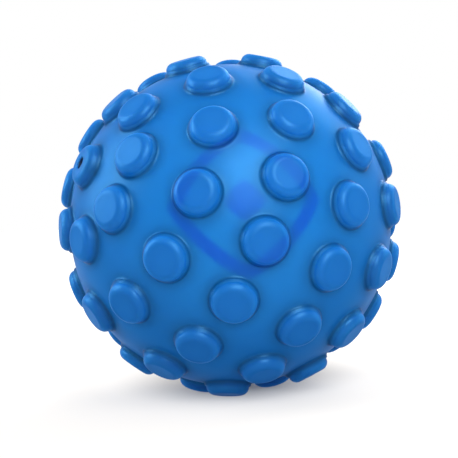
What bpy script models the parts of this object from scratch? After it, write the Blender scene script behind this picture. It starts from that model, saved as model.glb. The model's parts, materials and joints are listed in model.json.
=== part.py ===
"""Nubbed elastomer cover stretched over a self-rolling ball, with the two-wheeled drive unit inside it.

The origin is the ball's centre and +Z is up. The ball stands on three nubs, the front mark of the inner
ball faces -Y, and the drive unit's axle line is the X axis. Lengths below are millimetres.
"""

import math

import bmesh
import bpy
from mathutils import Matrix, Vector

MM = 0.001

# Cover
COVER_RADIUS = 40.5  # between the nubs
COVER_WALL = 3.5
NUB_HEIGHT = 2.7
NUB_RADIUS = 5.7
NUB_EDGE_ROUND = 1.6
NUB_FOOT_FLARE = 0.25
RING_COUNTS = (1, 8, 12, 16, 16, 12, 8, 1)  # nubs in each ring, from pole to pole
STANDING_RINGS = (4, 4, 5)  # the three nubs that the ball stands on: their rings
STANDING_LONGITUDES = (-45.0, -67.5, -60.0)  # and their longitudes
POLE_HEADING = 207.1  # compass direction of the vented pole, in degrees from +X towards +Y
VENT_RADIUS = 1.5
SLIT_WIDTH = 0.5  # the slit that the ball is pushed in through, on the equator
SLIT_ARC = 150.0
NUB_SEGMENTS = 10
NUB_EDGE_STEPS = 1
BODY_POINTS = 500

# Inner ball
SHELL_RADIUS = 36.6
SHELL_WALL = 1.8
SEAM_GAP = 0.3
SEAM_LAP = 1.5
SHELL_SEGMENTS = 32
MARK_DIRECTION = (0.10, -0.98, 0.16)  # the pole of the front half

# Drive train
WHEEL_OFFSET = 17.5
WHEEL_RADIUS = 12.0
TYRE_CROWN = 2.0
ROLLING_GAP = 0.5  # from the shell's nominal inner radius
GEAR_MODULE = 0.5
WHEEL_TEETH = 34
CLUSTER_SMALL_TEETH = 10
CLUSTER_LARGE_TEETH = 36
PINION_TEETH = 9
BACKLASH = 0.06  # added to each centre distance
CLUSTER_OFFSET = 6.5
MOTOR_RADIUS = 5.0
AXLE_RADIUS = 1.0
AXLE_HEAD_RADIUS = 2.4
AXLE_HEAD_THICKNESS = 1.2
HUB_LENGTH_INSIDE = 4.7  # from the tyre's middle towards the frame
HUB_LENGTH_OUTSIDE = 1.9
HUB_RADIUS = 3.3
HUB_CAP_RADIUS = 3.0
HUB_WEB_HALF = 0.6
HUB_RIM_HALF = 1.7
HUB_RIM_WALL = 1.4
WHEEL_GEAR_FACES = (-4.8, -3.2)
WHEEL_GEAR_BORE = 3.6
CLUSTER_X = 10.9  # where the cluster gear starts along X
CLUSTER_LARGE_FACE = 1.5
CLUSTER_SMALL_FACES = (0.8, 3.4)
CLUSTER_PIN_HEAD = (14.6, 15.2)  # from and to, along X
CLUSTER_PIN_HEAD_RADIUS = 1.6
PINION_X = 10.75
PINION_FACE = 1.8
PINION_BORE = 0.8
SHAFT_RADIUS = 0.5
SHAFT_ENDS = (-3.1, 2.1)  # from the pinion's start
MOTOR_BACK = -5.8
MOTOR_FRONT = 9.6
MOTOR_NOSE = 10.2
MOTOR_NOSE_RADIUS = 1.5
MOTOR_MOUTH_RADIUS = 0.8
MOTOR_MOUTH_DEPTH = 7.3
CAP_RADIUS = 4.4
CAP_ENDS = (-7.3, -6.1)
TOOTH_ADDENDUM = 0.9  # in modules
TOOTH_DEDENDUM = 1.2
TOOTH_TIP_HALF = 0.11  # in pitches
TOOTH_ROOT_HALF = 0.29
FIT = 0.3  # gap between a pin and its hole, and between stacked pieces

# Frame and stack
FRAME_HALF_WIDTH = 10.2
FRAME_HALF_LENGTH = 16.0
FRAME_BOTTOM = -27.0
FRAME_TOP = -2.9
FRAME_WALL = 1.6
DECK_THICKNESS = 1.4
BATTERY_HALF_LENGTH = 14.4
BATTERY_TOP = 13.5  # above the tube's floor
BATTERY_STOP = (14.9, 15.8)  # from and to, along Y
BATTERY_STOP_GAP = 2.0  # under the deck, for the wires
BALLAST_RADIUS = 11.0
BALLAST_THICKNESS = 2.0
FERRITE_RADIUS = 9.5
FERRITE_THICKNESS = 0.6
COIL_RADIUS = 9.0
COIL_BORE = 4.0
COIL_THICKNESS = 1.0
BASE_SCREW_HEAD = 2.2
CRADLE_HALF_WIDTH = 5.5
CRADLE_HALF_LENGTH = 15.5
CLAMP_EAR = 2.0
CLAMP_SHOULDER = 12.3
CLAMP_ROOF = 0.8
SCREW_HOLE = 1.0
SCREW_RADIUS = 0.7
SCREW_HEAD = 1.3
CLAMP_SCREW_Y = 13.9
BRACKET_Y = 14.2
BRACKET_LEG_X = 7.0
BRACKET_LEG_HALF = 1.2
BOARD_RADIUS = 19.5
BOARD_BOTTOM = 11.9
BOARD_THICKNESS = 1.2

# Sprung mast
MAST_RADIUS = 2.2
MAST_TOP = 27.0
MAST_BORE = 1.2
MAST_BORE_DEPTH = 5.0
MAST_FLANGE_RADIUS = 7.5
MAST_FLANGE = 1.2
MAST_SCREW_X = 5.6
MAST_SCREW_HOLE = 0.9
MAST_SCREW_RADIUS = 0.6
MAST_SCREW_HEAD = 1.2
MAST_SCREW_HEAD_HEIGHT = 0.7
STOP_SCREW_RADIUS = 0.9
STOP_SCREW_HEAD = 3.0
HEAD_BOTTOM = 21.7
HEAD_RADIUS = 3.7
CHEEK = (2.2, 3.4)  # from and to, along X
CHEEK_ROOT = (2.4, 23.2)  # where the cheek leaves the head, in Y and Z
CHEEK_SHOULDER = 3.6
IDLER_PIN_RADIUS = 0.7
IDLER_PIN_HALF = 3.4
IDLER_BORE = 1.0
IDLER_CHAMFER = 0.4
SPRING_RADIUS = 3.4
SPRING_WIRE = 0.35
SPRING_TURNS = 4
IDLER_OFFSET = 7.0
IDLER_RADIUS = 3.3
IDLER_HALF_WIDTH = 1.8

NUB_TOP = COVER_RADIUS + NUB_HEIGHT
NUB_FLAT_RADIUS = NUB_RADIUS - NUB_EDGE_ROUND
SHELL_INSIDE = SHELL_RADIUS - SHELL_WALL
CROWN_DISTANCE = SHELL_INSIDE - ROLLING_GAP - TYRE_CROWN
AXLE_HEIGHT = -(math.sqrt(CROWN_DISTANCE**2 - WHEEL_OFFSET**2) - (WHEEL_RADIUS - TYRE_CROWN))
CLUSTER_DISTANCE = GEAR_MODULE * (WHEEL_TEETH + CLUSTER_SMALL_TEETH) / 2 + BACKLASH
CLUSTER_HEIGHT = AXLE_HEIGHT + math.sqrt(CLUSTER_DISTANCE**2 - CLUSTER_OFFSET**2)
MOTOR_HEIGHT = CLUSTER_HEIGHT + GEAR_MODULE * (CLUSTER_LARGE_TEETH + PINION_TEETH) / 2 + BACKLASH
BOARD_TOP = BOARD_BOTTOM + BOARD_THICKNESS
CLAMP_TOP = MOTOR_HEIGHT + MOTOR_RADIUS + FIT + CLAMP_ROOF
IDLER_HEIGHT = math.sqrt((SHELL_INSIDE - ROLLING_GAP - IDLER_RADIUS) ** 2 - IDLER_OFFSET**2)


def clear_scene():
    for obj in list(bpy.data.objects):
        bpy.data.objects.remove(obj)


def material(name, color, roughness, metallic=0.0):
    made = bpy.data.materials.new(name)
    made.use_nodes = True
    shader = made.node_tree.nodes["Principled BSDF"]
    shader.inputs["Base Color"].default_value = (*color, 1.0)
    shader.inputs["Roughness"].default_value = roughness
    shader.inputs["Metallic"].default_value = metallic
    return made


def frame_empty(name, location=(0, 0, 0), parent=None):
    empty = bpy.data.objects.new(name, None)
    empty.empty_display_size = 5 * MM
    empty.parent = parent
    empty.matrix_world = Matrix.Translation(Vector(location) * MM)
    bpy.context.scene.collection.objects.link(empty)
    bpy.context.view_layer.update()
    return empty


def finish(name, mesh_data, surface, parent, place):
    """Turns a bmesh in metres into an object, with its origin where the matrix (in millimetres) puts it."""
    bmesh.ops.recalc_face_normals(mesh_data, faces=mesh_data.faces)
    mesh = bpy.data.meshes.new(name)
    mesh_data.to_mesh(mesh)
    mesh_data.free()
    mesh.shade_smooth()
    mesh.set_sharp_from_angle(angle=math.radians(35))
    mesh.materials.append(surface)
    obj = bpy.data.objects.new(name, mesh)
    bpy.context.scene.collection.objects.link(obj)
    obj.parent = parent
    obj.matrix_world = Matrix.Translation(place.translation * MM) @ place.to_3x3().to_4x4()
    return obj


def as_cutter(obj):
    obj.hide_render = True
    obj.display_type = "WIRE"
    return obj


def boolean(obj, operation, other):
    modifier = obj.modifiers.new(f"{operation.lower()} {other.name}", "BOOLEAN")
    modifier.operation = operation
    modifier.solver = "EXACT"
    modifier.object = as_cutter(other)


def turned(name, profile, surface, parent, place=Matrix.Identity(4), segments=20):
    """A closed solid turned about local Z from (radius, height) points, from axis to axis or round."""
    shape = bmesh.new()
    points = [shape.verts.new((radius * MM, 0, height * MM)) for radius, height in profile]
    edges = [shape.edges.new(pair) for pair in zip(points, points[1:])]
    if profile[0][0] > 0:
        edges.append(shape.edges.new((points[-1], points[0])))
    bmesh.ops.spin(
        shape,
        geom=points + edges,
        cent=(0, 0, 0),
        axis=(0, 0, 1),
        steps=segments,
        angle=2 * math.pi,
        use_merge=True,
    )
    bmesh.ops.remove_doubles(shape, verts=shape.verts, dist=1e-7)
    return finish(name, shape, surface, parent, place)


def rod(radius, low, high, hole=0.0):
    """The profile of a rod, or of a tube."""
    return [(hole, low), (radius, low), (radius, high), (hole, high)]


def circle(radius, count=16, center=(0, 0)):
    steps = (2 * math.pi * i / count for i in range(count))
    return [(center[0] + radius * math.cos(a), center[1] + radius * math.sin(a)) for a in steps]


def arc(center, radius, start, end, steps):
    """Points along an arc, angles in degrees."""
    turns = (math.radians(start + (end - start) * i / steps) for i in range(steps + 1))
    return [(center[0] + radius * math.cos(a), center[1] + radius * math.sin(a)) for a in turns]


def extruded(name, outline, low, high, surface, parent, place=Matrix.Identity(4), holes=()):
    """A plate: an outline in local X and Y, with holes, from one height along Z to another."""
    shape = bmesh.new()
    edges = []
    for loop in (outline, *holes):
        points = [shape.verts.new((x * MM, y * MM, low * MM)) for x, y in loop]
        edges += [shape.edges.new((points[i - 1], points[i])) for i in range(len(points))]
    bmesh.ops.triangle_fill(shape, edges=edges, use_beauty=True)
    lifted = bmesh.ops.extrude_face_region(shape, geom=shape.faces[:], use_keep_orig=True)["geom"]
    points = [item for item in lifted if isinstance(item, bmesh.types.BMVert)]
    bmesh.ops.translate(shape, verts=points, vec=(0, 0, (high - low) * MM))
    return finish(name, shape, surface, parent, place)


def block(name, low, high, surface, parent, bevel=0.0):
    """A box between two corners, its origin at its centre."""
    low, high = Vector(low), Vector(high)
    shape = bmesh.new()
    bmesh.ops.create_cube(shape, size=1.0)
    bmesh.ops.scale(shape, vec=(high - low) * MM, verts=shape.verts)
    obj = finish(name, shape, surface, parent, Matrix.Translation((low + high) / 2))
    if bevel:
        modifier = obj.modifiers.new("edges", "BEVEL")
        modifier.width = bevel * MM
        modifier.segments = 1
    return obj


def drills(name, holes, parent):
    """One cutter of several cylinders, each given as (start, end, radius)."""
    shape = bmesh.new()
    for start, end, radius in holes:
        start, end = Vector(start), Vector(end)
        turn = (end - start).to_track_quat("Z", "Y").to_matrix().to_4x4()
        bmesh.ops.create_cone(
            shape,
            cap_ends=True,
            segments=12,
            radius1=radius * MM,
            radius2=radius * MM,
            depth=(end - start).length * MM,
            matrix=Matrix.Translation((start + end) / 2 * MM) @ turn,
        )
    return finish(name, shape, STEEL, parent, Matrix.Identity(4))


def along_x(x, y, z):
    """Local Z to the row's +X, with local X pointing down."""
    return Matrix.Translation((x, y, z)) @ Matrix.Rotation(math.pi / 2, 4, "Y")


def angle_towards(y, z):
    """The local angle, on a piece placed by along_x, of the direction (y, z)."""
    return math.atan2(y, -z)


# The nub pattern


def sphere_point(colatitude, longitude):
    across = math.sin(colatitude)
    return Vector((across * math.cos(longitude), across * math.sin(longitude), math.cos(colatitude)))


def ring_colatitude(ring):
    return math.pi * ring / (len(RING_COUNTS) - 1)


def nub_directions():
    """The nubs' directions with the vented pole along +Z: every ring has a nub on longitude 0."""
    directions = []
    for ring, count in enumerate(RING_COUNTS):
        for index in range(count):
            directions.append(sphere_point(ring_colatitude(ring), 2 * math.pi * index / count))
    return directions


def axes_from(first, towards):
    """A rotation whose X axis is the first direction and whose Y axis leans to the second."""
    x = first.normalized()
    y = (towards - x * towards.dot(x)).normalized()
    return Matrix((x, y, x.cross(y))).transposed()


def standing_turn():
    """Turns the pattern so that the ball stands on its three nubs, with the vented pole on its heading."""
    feet = [
        sphere_point(ring_colatitude(ring), math.radians(longitude))
        for ring, longitude in zip(STANDING_RINGS, STANDING_LONGITUDES)
    ]
    under = (feet[1] - feet[0]).cross(feet[2] - feet[0])
    if under.dot(feet[0]) < 0:
        under.negate()
    heading = math.radians(POLE_HEADING)
    ahead = Vector((math.cos(heading), math.sin(heading), 0))
    pattern = axes_from(under, Vector((0, 0, 1)))
    return (axes_from(Vector((0, 0, -1)), ahead) @ pattern.transposed()).to_4x4()


def circle_round(direction, radius, height):
    """Points round a nub's axis, given how far from the axis they are and how far along it."""
    up = Vector((0, 0, 1)) if abs(direction.z) < 0.999 else Vector((1, 0, 0))
    east = up.cross(direction).normalized()
    north = direction.cross(east)
    turns = (2 * math.pi * i / NUB_SEGMENTS for i in range(NUB_SEGMENTS))
    return [direction * height + (east * math.cos(t) + north * math.sin(t)) * radius for t in turns]


def body_points(directions, clear_angle):
    """An even spread of points over the sphere, left out near each nub."""
    golden = math.pi * (3 - math.sqrt(5))
    points = []
    for index in range(BODY_POINTS):
        point = sphere_point(math.acos(1 - (2 * index + 1) / BODY_POINTS), golden * index)
        if max(point.dot(direction) for direction in directions) < math.cos(clear_angle):
            points.append(point)
    return points


def raise_nub(shape, direction, foot):
    """Closes one nub over its foot's ring of points: wall, rounded edge and flat top."""
    ring = foot
    edge_center = (NUB_FLAT_RADIUS, NUB_TOP - NUB_EDGE_ROUND)
    for radius, height in arc(edge_center, NUB_EDGE_ROUND, 0, 90, NUB_EDGE_STEPS):
        above = [shape.verts.new(point * MM) for point in circle_round(direction, radius, height)]
        for index in range(NUB_SEGMENTS):
            shape.faces.new((ring[index - 1], ring[index], above[index], above[index - 1]))
        ring = above
    shape.faces.new(ring)


def build_cover(root):
    """A sphere triangulated round the nubs' feet, with a nub raised on each foot, hollowed and vented."""
    turn = standing_turn()
    directions = nub_directions()
    foot_radius = NUB_RADIUS + NUB_FOOT_FLARE
    foot_height = math.sqrt(COVER_RADIUS**2 - foot_radius**2)
    shape = bmesh.new()
    feet = []
    for direction in directions:
        points = circle_round(direction, foot_radius, foot_height)
        feet.append([shape.verts.new(point / COVER_RADIUS) for point in points])
    for point in body_points(directions, 1.25 * math.asin(foot_radius / COVER_RADIUS)):
        shape.verts.new(point)
    bmesh.ops.convex_hull(shape, input=shape.verts)
    foot_of = {vert: number for number, foot in enumerate(feet) for vert in foot}
    lids = []
    for face in shape.faces:
        numbers = {foot_of.get(vert) for vert in face.verts}
        if len(numbers) == 1 and None not in numbers:
            lids.append(face)
    bmesh.ops.delete(shape, geom=lids, context="FACES")
    for vert in shape.verts:
        vert.co = vert.co.normalized() * COVER_RADIUS * MM
    for direction, foot in zip(directions, feet):
        raise_nub(shape, direction, foot)
    cover = finish("nub_cover", shape, RUBBER, root, turn)

    hollow = bmesh.new()
    bmesh.ops.create_icosphere(hollow, subdivisions=4, radius=(COVER_RADIUS - COVER_WALL) * MM)
    boolean(cover, "DIFFERENCE", finish("cover_hollow", hollow, RUBBER, root, turn))

    vent = rod(VENT_RADIUS, COVER_RADIUS - 2 * COVER_WALL, NUB_TOP + 1)
    boolean(cover, "DIFFERENCE", turned("cover_vent", vent, RUBBER, root, turn, segments=12))

    pole = turn.to_3x3() @ Vector((0, 0, 1))
    away = turn.to_3x3().transposed() @ (Vector((0, 1, 0)) - pole * pole.y)
    middle = math.degrees(math.atan2(away.y, away.x))
    start, end = middle - SLIT_ARC / 2, middle + SLIT_ARC / 2
    far_arc = arc((0, 0), NUB_TOP + 2, start, end, 20)
    near_arc = arc((0, 0), COVER_RADIUS - COVER_WALL - 1, end, start, 20)
    slit = extruded("cover_slit", far_arc + near_arc, -SLIT_WIDTH / 2, SLIT_WIDTH / 2, RUBBER, root, turn)
    boolean(cover, "DIFFERENCE", slit)


def build_shell(root):
    """Two half shells with a lapped seam. The front half's pole, where the mark is, is the local +Z."""
    place = Vector(MARK_DIRECTION).to_track_quat("Z", "X").to_matrix().to_4x4()
    edge = SEAM_GAP / 2
    mid = SHELL_RADIUS - SHELL_WALL / 2
    outside = arc((0, 0), SHELL_RADIUS, 90, 0, 8)[:-1]
    inside = arc((0, 0), SHELL_INSIDE, 0, 90, 8)[1:]
    front = [
        *outside,
        (SHELL_RADIUS, edge),
        (mid + edge, edge),
        (mid + edge, SEAM_LAP + SEAM_GAP),
        (SHELL_INSIDE, SEAM_LAP + SEAM_GAP),
        *inside,
    ]
    turned("front_shell", front[::-1], SHELL, root, place, SHELL_SEGMENTS)
    rear = [
        *outside,
        (SHELL_RADIUS, edge),
        (mid - edge, edge),
        (mid - edge, -SEAM_LAP),
        (SHELL_INSIDE, -SEAM_LAP),
        *inside,
    ]
    turned("rear_shell", [(radius, -height) for radius, height in rear], SHELL, root, place, SHELL_SEGMENTS)


# The drive unit


def build_frame(drive):
    """A square tube that holds the battery, with the motors on it and the coil stack under it."""
    width, top, bottom = FRAME_HALF_WIDTH, FRAME_TOP, FRAME_BOTTOM
    inner = width - FRAME_WALL
    along_y = Matrix.Rotation(math.pi / 2, 4, "X")  # local Y to the row's +Z, local Z to -Y
    outline = [(-width, bottom), (width, bottom), (width, top), (-width, top)]
    floor, ceiling = bottom + FRAME_WALL, top - DECK_THICKNESS
    cavity = [(-inner, floor), (inner, floor), (inner, ceiling), (-inner, ceiling)]
    length = FRAME_HALF_LENGTH
    frame = extruded("chassis_frame", outline, -length, length, CHASSIS, drive, along_y, [cavity])
    hole = AXLE_RADIUS + FIT
    holes = [((-width - 1, 0, AXLE_HEIGHT), (width + 1, 0, AXLE_HEIGHT), hole)]
    holes.append(((0, 0, bottom - 1), (0, 0, floor + 1), hole))
    for side in (1, -1):
        y = side * CLUSTER_OFFSET
        holes.append(((side * (inner - 1), y, CLUSTER_HEIGHT), (side * (width + 1), y, CLUSTER_HEIGHT), hole))
        y = side * CLAMP_SCREW_Y
        holes.append(((0, y, ceiling - 1), (0, y, top + 1), SCREW_HOLE))
        y = side * BRACKET_Y
        for x in (-BRACKET_LEG_X, BRACKET_LEG_X):
            holes.append(((x, y, ceiling - 1), (x, y, top + 1), SCREW_HOLE))
    boolean(frame, "DIFFERENCE", drills("frame_holes", holes, drive))

    half = inner - 2 * FIT
    low = (-half, -BATTERY_HALF_LENGTH, floor + FIT)
    block("battery_pack", low, (half, BATTERY_HALF_LENGTH, floor + BATTERY_TOP), BATTERY, drive, 1.0)
    for name, side in (("rear_battery_stop", 1), ("front_battery_stop", -1)):
        near, far = sorted(side * y for y in BATTERY_STOP)
        low = (-inner + FIT, near, floor + FIT)
        block(name, low, (inner - FIT, far, ceiling - BATTERY_STOP_GAP), CHASSIS, drive)


def build_coil_stack(drive):
    """Ballast, ferrite and charging coil under the floor, held by one screw from below."""
    hole = AXLE_RADIUS + FIT
    ballast_top = FRAME_BOTTOM - FIT
    ballast_bottom = ballast_top - BALLAST_THICKNESS
    ferrite_top = ballast_bottom - FIT
    ferrite_bottom = ferrite_top - FERRITE_THICKNESS
    coil_top = ferrite_bottom - FIT
    turned("ballast_weight", rod(BALLAST_RADIUS, ballast_bottom, ballast_top, hole), BRASS, drive)
    turned("coil_ferrite", rod(FERRITE_RADIUS, ferrite_bottom, ferrite_top, hole), FERRITE, drive)
    turned("charging_coil", rod(COIL_RADIUS, coil_top - COIL_THICKNESS, coil_top, COIL_BORE), COPPER, drive)
    tip = FRAME_BOTTOM + FRAME_WALL + 0.3
    screw("base_screw", (0, 0, coil_top), tip, BASE_SCREW_HEAD, AXLE_RADIUS, drive)


def screw(name, seat, tip, head_radius, shank_radius, parent, head_height=1.0):
    """A vertical screw whose head bears at the seat's height and whose shank ends at the tip's height."""
    x, y, z = seat
    out = math.copysign(1, z - tip)
    profile = [
        (0, tip - z),
        (shank_radius, tip - z),
        (shank_radius, 0),
        (head_radius, 0),
        (head_radius, out * head_height * 0.6),
        (head_radius * 0.8, out * head_height),
        (0, out * head_height),
    ]
    turned(name, profile, STEEL, parent, Matrix.Translation((x, y, z)), 10)


def gear_outline(teeth, phase):
    """Straight-flanked teeth, one of them centred on the phase angle."""
    pitch = 2 * math.pi / teeth
    tip = GEAR_MODULE * (teeth / 2 + TOOTH_ADDENDUM)
    root = GEAR_MODULE * (teeth / 2 - TOOTH_DEDENDUM)
    corners = (
        (root, -TOOTH_ROOT_HALF),
        (tip, -TOOTH_TIP_HALF),
        (tip, TOOTH_TIP_HALF),
        (root, TOOTH_ROOT_HALF),
    )
    outline = []
    for tooth in range(teeth):
        for radius, offset in corners:
            turn = phase + (tooth + offset) * pitch
            outline.append((radius * math.cos(turn), radius * math.sin(turn)))
    return outline


def build_wheel(side, turn, body):
    """Hub, gear and tyre. Local Z is the axle, from the frame outwards, and 0 is the tyre's middle."""
    place = turn @ along_x(WHEEL_OFFSET, 0, AXLE_HEIGHT)
    bore = AXLE_RADIUS + FIT
    rim = WHEEL_RADIUS - TYRE_CROWN - FIT
    hub = [
        (bore, -HUB_LENGTH_INSIDE),
        (HUB_RADIUS, -HUB_LENGTH_INSIDE),
        (HUB_RADIUS, -HUB_WEB_HALF),
        (rim - HUB_RIM_WALL, -HUB_WEB_HALF),
        (rim - HUB_RIM_WALL, -HUB_RIM_HALF),
        (rim, -HUB_RIM_HALF),
        (rim, HUB_RIM_HALF),
        (rim - HUB_RIM_WALL, HUB_RIM_HALF),
        (rim - HUB_RIM_WALL, HUB_WEB_HALF),
        (HUB_CAP_RADIUS, HUB_WEB_HALF),
        (HUB_CAP_RADIUS, HUB_LENGTH_OUTSIDE),
        (bore, HUB_LENGTH_OUTSIDE),
    ]
    turned(f"{side}_wheel_hub", hub, WHEEL, body, place)
    tyre = arc((rim + FIT, 0), TYRE_CROWN, -90, 90, 6)
    turned(f"{side}_tyre", tyre, TYRE, body, place, 28)
    to_cluster = angle_towards(CLUSTER_OFFSET, CLUSTER_HEIGHT - AXLE_HEIGHT)
    outline = gear_outline(WHEEL_TEETH, to_cluster)
    low, high = WHEEL_GEAR_FACES
    extruded(f"{side}_wheel_gear", outline, low, high, GEAR, body, place, [circle(WHEEL_GEAR_BORE)])


def build_cluster(side, turn, body):
    """Large gear driven by the pinion, and small gear that drives the wheel, moulded as one."""
    place = turn @ along_x(CLUSTER_X, CLUSTER_OFFSET, CLUSTER_HEIGHT)
    to_motor = angle_towards(0, 1)
    large = gear_outline(CLUSTER_LARGE_TEETH, to_motor)
    gear = extruded(f"{side}_cluster_gear", large, 0, CLUSTER_LARGE_FACE, GEAR, body, place)
    half_tooth = math.pi / CLUSTER_SMALL_TEETH
    to_wheel = angle_towards(-CLUSTER_OFFSET, AXLE_HEIGHT - CLUSTER_HEIGHT)
    small = gear_outline(CLUSTER_SMALL_TEETH, to_wheel + half_tooth)
    low, high = CLUSTER_SMALL_FACES
    boolean(gear, "UNION", extruded(f"{side}_cluster_small", small, low, high, GEAR, body, place))
    bore = rod(AXLE_RADIUS + FIT, -1, 5)
    boolean(gear, "DIFFERENCE", turned(f"{side}_cluster_bore", bore, GEAR, body, place, segments=12))


def build_pinion(side, turn, body):
    place = turn @ along_x(PINION_X, CLUSTER_OFFSET, MOTOR_HEIGHT)
    half_tooth = math.pi / PINION_TEETH
    outline = gear_outline(PINION_TEETH, angle_towards(0, -1) + half_tooth)
    extruded(f"{side}_pinion", outline, 0, PINION_FACE, BRASS, body, place, [circle(PINION_BORE)])
    turned(f"{side}_motor_shaft", rod(SHAFT_RADIUS, *SHAFT_ENDS), STEEL, body, place, segments=12)


def build_fixed_train(side, turn, drive):
    """What stays still on each side: motor, end cap, axle and cluster pin."""
    motor_place = turn @ along_x(0, CLUSTER_OFFSET, MOTOR_HEIGHT)
    motor = [
        (0, MOTOR_BACK),
        (MOTOR_RADIUS, MOTOR_BACK),
        (MOTOR_RADIUS, MOTOR_FRONT),
        (MOTOR_NOSE_RADIUS, MOTOR_FRONT),
        (MOTOR_NOSE_RADIUS, MOTOR_NOSE),
        (MOTOR_MOUTH_RADIUS, MOTOR_NOSE),
        (MOTOR_MOUTH_RADIUS, MOTOR_MOUTH_DEPTH),
        (0, MOTOR_MOUTH_DEPTH),
    ]
    turned(f"{side}_motor", motor, STEEL, drive, motor_place)
    turned(f"{side}_motor_cap", rod(CAP_RADIUS, *CAP_ENDS), CHASSIS, drive, motor_place)
    inner = FRAME_HALF_WIDTH - FRAME_WALL + FIT
    axle_place = turn @ along_x(0, 0, AXLE_HEIGHT)
    head = WHEEL_OFFSET + HUB_LENGTH_OUTSIDE + FIT
    axle = pin(inner, head, head + AXLE_HEAD_THICKNESS, AXLE_HEAD_RADIUS)
    turned(f"{side}_wheel_axle", axle, STEEL, drive, axle_place, 12)
    cluster_place = turn @ along_x(0, CLUSTER_OFFSET, CLUSTER_HEIGHT)
    cluster_pin = pin(inner, *CLUSTER_PIN_HEAD, CLUSTER_PIN_HEAD_RADIUS)
    turned(f"{side}_cluster_pin", cluster_pin, STEEL, drive, cluster_place, 12)


def pin(start, head, end, head_radius):
    """The profile of a pin with a flat head."""
    shank = AXLE_RADIUS
    return [(0, start), (shank, start), (shank, head), (head_radius, head), (head_radius, end), (0, end)]


def motor_scoops(height, side, steps=8):
    """Two arcs round the motors, from +Y to -Y, below (side -1) or above (side 1) their axes' level."""
    radius = MOTOR_RADIUS + FIT
    rise = math.degrees(math.asin((height - MOTOR_HEIGHT) / radius))
    points = []
    for y in (CLUSTER_OFFSET, -CLUSTER_OFFSET):
        if side > 0:
            points += arc((y, MOTOR_HEIGHT), radius, rise, 180 - rise, steps)
        else:
            points += arc((y, MOTOR_HEIGHT), radius, rise, -180 - rise, steps)
    return points


def build_motor_mount(drive):
    """A cradle on the deck and a clamp over it, held down together by two screws."""
    across = Matrix(((0, 0, 1, 0), (1, 0, 0, 0), (0, 1, 0, 0), (0, 0, 0, 1)))  # local X, Y, Z to Y, Z, X
    half, width = CRADLE_HALF_LENGTH, CRADLE_HALF_WIDTH
    low, split = FRAME_TOP + FIT, MOTOR_HEIGHT
    cradle_top, clamp_bottom = split - FIT / 2, split + FIT / 2
    ear = clamp_bottom + CLAMP_EAR
    cradle_outline = [
        (half, low),
        (half, cradle_top),
        *motor_scoops(cradle_top, -1),
        (-half, cradle_top),
        (-half, low),
    ]
    cradle = extruded("motor_cradle", cradle_outline, -width, width, CHASSIS, drive, across)
    clamp_outline = [
        (half, clamp_bottom),
        *motor_scoops(clamp_bottom, 1),
        (-half, clamp_bottom),
        (-half, ear),
        (-CLAMP_SHOULDER, ear),
        (-CLAMP_SHOULDER, CLAMP_TOP),
        (CLAMP_SHOULDER, CLAMP_TOP),
        (CLAMP_SHOULDER, ear),
        (half, ear),
    ]
    clamp = extruded("motor_clamp", clamp_outline, -width, width, CHASSIS, drive, across)
    holes = [((0, y, low - 1), (0, y, ear + 1), SCREW_HOLE) for y in (CLAMP_SCREW_Y, -CLAMP_SCREW_Y)]
    cutter = drills("clamp_holes", holes, drive)
    boolean(cradle, "DIFFERENCE", cutter)
    boolean(clamp, "DIFFERENCE", cutter)
    tip = FRAME_TOP - DECK_THICKNESS + 0.1
    for name, y in (("rear_clamp_screw", CLAMP_SCREW_Y), ("front_clamp_screw", -CLAMP_SCREW_Y)):
        screw(name, (0, y, ear + FIT), tip, SCREW_HEAD, SCREW_RADIUS, drive)


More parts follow.
